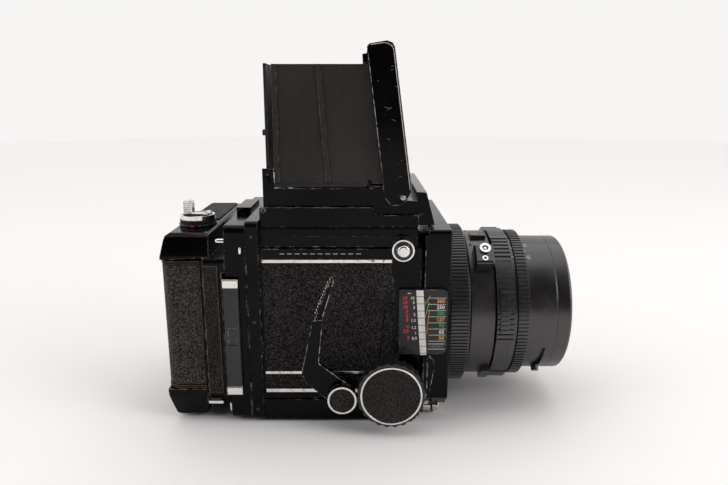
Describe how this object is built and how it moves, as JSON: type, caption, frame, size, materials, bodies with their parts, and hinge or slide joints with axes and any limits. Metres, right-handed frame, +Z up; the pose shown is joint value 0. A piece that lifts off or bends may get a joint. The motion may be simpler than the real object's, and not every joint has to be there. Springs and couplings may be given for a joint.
{
  "type": "medium-format single lens reflex camera",
  "caption": "Boxy bellows-focused reflex camera with a large lens, a raised folding viewing hood, a focusing knob, a cocking lever and a revolving roll-film back.",
  "frame": {"origin": "centre of the tripod socket's mouth, on the base plane", "axes": "+Z up, -Y is where the lens looks, +Y towards the film back, -X is the camera's right side"},
  "size_m": [0.1388, 0.2296, 0.2084],
  "materials": {
    "gloss_enamel": "gloss black enamel, worn at the edges",
    "satin_black": "satin black enamel",
    "hood_grain": "fine-grain matt black",
    "pebbled_leather": "pebbled leather",
    "bright_trim": "polished, a little pitted",
    "worn_brass_edge": "black paint worn to brass at the edge",
    "steel": "plain steel",
    "dark_steel": "blackened steel",
    "lock_steel": "blackened steel with bright ends",
    "pale_ruler": "pale printed plastic",
    "ground_glass": "ground on one face",
    "clear_glass": "coated",
    "silver_mirror": "front silvered",
    "bellows_cloth": "matt pleated cloth",
    "lens_black": "matt black anodised",
    "black_plastic": "moulded black"
  },
  "bodies": {
    "camera_body": {"body_casting": "gloss_enamel", "body_leather": "pebbled_leather", "trim_strips": "bright_trim", "base_cover": "gloss_enamel", "tripod_bush": "steel", "strap_lugs": "bright_trim", "distance_scale": "satin_black", "distance_ruler": "pale_ruler", "accessory_shoe": "steel", "focusing_screen": "ground_glass", "hood_base": "gloss_enamel", "hinge_pins": "steel"},
    "front_standard": {"front_standard": "gloss_enamel", "moving_scale": "satin_black", "focus_rails": "steel", "bellows": "bellows_cloth", "lens_barrel": "lens_black", "sync_socket": "bright_trim", "front_barrel": "lens_black", "lens_cells": "lens_black", "lens_elements": "clear_glass", "aperture_blades": "dark_steel"},
    "release_collar": {"release_collar": "bright_trim"},
    "shutter_release": {"shutter_release": "bright_trim"},
    "focus_shaft": {"focus_shaft": "steel", "focus_knobs": "black_plastic", "focus_knob_rings": "bright_trim", "focus_knob_caps": "pebbled_leather"},
    "focus_lock_lever": {"focus_lock_lever": "satin_black"},
    "cocking_lever": {"cocking_lever": "satin_black", "cocking_cap": "bright_trim", "cocking_shaft": "steel"},
    "mirror": {"mirror_frame": "satin_black", "mirror_glass": "silver_mirror"},
    "hood_wing_right": {"hood_wing_right": "hood_grain"},
    "hood_wing_left": {"hood_wing_left": "hood_grain"},
    "hood_rear_wing": {"hood_rear_wing": "hood_grain"},
    "hood_lid": {"hood_lid": "gloss_enamel", "magnifier_pins": "steel"},
    "magnifier": {"magnifier_frame": "satin_black", "magnifier_lens": "clear_glass"},
    "lens_lock_ring": {"lens_lock_ring": "lens_black"},
    "shutter_ring": {"shutter_ring": "lens_black"},
    "aperture_ring": {"aperture_ring": "lens_black"},
    "dof_lever": {"dof_lever": "lens_black"},
    "revolving_back": {"adapter_plate": "gloss_enamel", "film_back_frame": "gloss_enamel", "frame_leather": "pebbled_leather", "door_pin": "steel", "pressure_plate": "steel"},
    "lock_bar_right": {"lock_bar_right": "lock_steel"},
    "lock_bar_left": {"lock_bar_left": "lock_steel"},
    "rear_door": {"rear_door": "gloss_enamel", "door_leather": "pebbled_leather", "door_beads": "worn_brass_edge"},
    "dark_slide": {"dark_slide": "steel"},
    "wind_knob": {"wind_knob": "satin_black", "wind_ring": "bright_trim"},
    "wind_crank": {"wind_crank": "bright_trim"},
    "takeup_spool": {"takeup_spool": "black_plastic"}
  },
  "joints": [
    {"name": "front_standard_slide", "type": "slide", "parent": "camera_body", "child": "front_standard", "axis": [0, -1, 0], "range_m": [0, 0.046], "deforming": ["bellows"]},
    {"name": "focus_shaft_turn", "type": "hinge", "parent": "camera_body", "child": "focus_shaft", "pos_m": [0, -0.0227, 0.024], "axis": [-1, 0, 0], "range_deg": [0, 264]},
    {"name": "focus_lock_turn", "type": "hinge", "parent": "camera_body", "child": "focus_lock_lever", "pos_m": [0.054, -0.0227, 0.024], "axis": [1, 0, 0], "range_deg": [0, 50]},
    {"name": "cocking_stroke", "type": "hinge", "parent": "camera_body", "child": "cocking_lever", "pos_m": [-0.055, 0.0039, 0.0201], "axis": [1, 0, 0], "range_deg": [0, 58], "stiffness_Nm_per_rad": 0.06, "springref_deg": -22.92},
    {"name": "mirror_swing", "type": "hinge", "parent": "camera_body", "child": "mirror", "pos_m": [0, 0.046, 0.095], "axis": [-1, 0, 0], "range_deg": [0, 45]},
    {"name": "hood_wing_right_fold", "type": "hinge", "parent": "camera_body", "child": "hood_wing_right", "pos_m": [-0.042, 0.014, 0.1344], "axis": [0, 1, 0], "range_deg": [0, 90], "stiffness_Nm_per_rad": 0.01, "springref_deg": -34.38},
    {"name": "hood_wing_left_fold", "type": "hinge", "parent": "camera_body", "child": "hood_wing_left", "pos_m": [0.042, 0.014, 0.1372], "axis": [0, -1, 0], "range_deg": [0, 90], "stiffness_Nm_per_rad": 0.01, "springref_deg": -34.38},
    {"name": "hood_rear_wing_fold", "type": "hinge", "parent": "camera_body", "child": "hood_rear_wing", "pos_m": [0, 0.0439, 0.14], "axis": [1, 0, 0], "range_deg": [0, 90], "stiffness_Nm_per_rad": 0.01, "springref_deg": -34.38},
    {"name": "hood_lid_tilt", "type": "hinge", "parent": "camera_body", "child": "hood_lid", "pos_m": [0, -0.029, 0.128], "axis": [-1, 0, 0], "range_deg": [0, 4], "stiffness_Nm_per_rad": 0.1, "springref_deg": -22.92},
    {"name": "magnifier_swing", "type": "hinge", "parent": "hood_lid", "child": "magnifier", "pos_m": [0, -0.01938, 0.20066], "axis": [1, 0, 0], "range_deg": [0, 95]},
    {"name": "lens_lock_turn", "type": "hinge", "parent": "front_standard", "child": "lens_lock_ring", "pos_m": [0, -0.061, 0.0552], "axis": [0, 1, 0], "range_deg": [0, 40]},
    {"name": "shutter_ring_turn", "type": "hinge", "parent": "front_standard", "child": "shutter_ring", "pos_m": [0, -0.088, 0.0552], "axis": [0, 1, 0], "range_deg": [-60, 60]},
    {"name": "aperture_ring_turn", "type": "hinge", "parent": "front_standard", "child": "aperture_ring", "pos_m": [0, -0.098, 0.0552], "axis": [0, 1, 0], "range_deg": [-50, 50]},
    {"name": "dof_lever_turn", "type": "hinge", "parent": "front_standard", "child": "dof_lever", "pos_m": [0, -0.1113, 0.0552], "axis": [0, 1, 0], "range_deg": [0, 24]},
    {"name": "release_collar_turn", "type": "hinge", "parent": "front_standard", "child": "release_collar", "pos_m": [-0.0396, -0.044, 0.0041], "axis": [0, 1, 0], "range_deg": [0, 90]},
    {"name": "shutter_release_press", "type": "slide", "parent": "front_standard", "child": "shutter_release", "axis": [0, 1, 0], "range_m": [0, 0.0018], "stiffness_N_per_m": 400, "springref_m": -0.002},
    {"name": "back_revolve", "type": "hinge", "parent": "camera_body", "child": "revolving_back", "pos_m": [0, 0.053, 0.0552], "axis": [0, -1, 0], "range_deg": [0, 90]},
    {"name": "lock_bar_right_slide", "type": "slide", "parent": "revolving_back", "child": "lock_bar_right", "axis": [0, 0, -1], "range_m": [0, 0.005]},
    {"name": "lock_bar_left_slide", "type": "slide", "parent": "revolving_back", "child": "lock_bar_left", "axis": [0, 0, -1], "range_m": [0, 0.005]},
    {"name": "rear_door_swing", "type": "hinge", "parent": "revolving_back", "child": "rear_door", "pos_m": [0.0532, 0.0806, 0.057], "axis": [0, 0, -1], "range_deg": [0, 110]},
    {"name": "dark_slide_pull", "type": "slide", "parent": "revolving_back", "child": "dark_slide", "axis": [1, 0, 0], "range_m": [0, 0.095]},
    {"name": "wind_knob_turn", "type": "hinge", "parent": "revolving_back", "child": "wind_knob", "pos_m": [-0.025, 0.087, 0.106], "axis": [0, 0, 1], "continuous": true},
    {"name": "takeup_spool_turn", "type": "hinge", "parent": "revolving_back", "child": "takeup_spool", "pos_m": [-0.0365, 0.0873, 0.057], "axis": [0, 0, 1], "continuous": true},
    {"name": "wind_crank_unfold", "type": "hinge", "parent": "wind_knob", "child": "wind_crank", "pos_m": [-0.025, 0.0814, 0.1154], "axis": [1, 0, 0], "range_deg": [0, 115]}
  ],
  "couplings": [
    {"joint": "focus_shaft_turn", "follows": "front_standard_slide", "rad_per_m": 100},
    {"joint": "takeup_spool_turn", "follows": "wind_knob_turn", "ratio": -1}
  ]
}
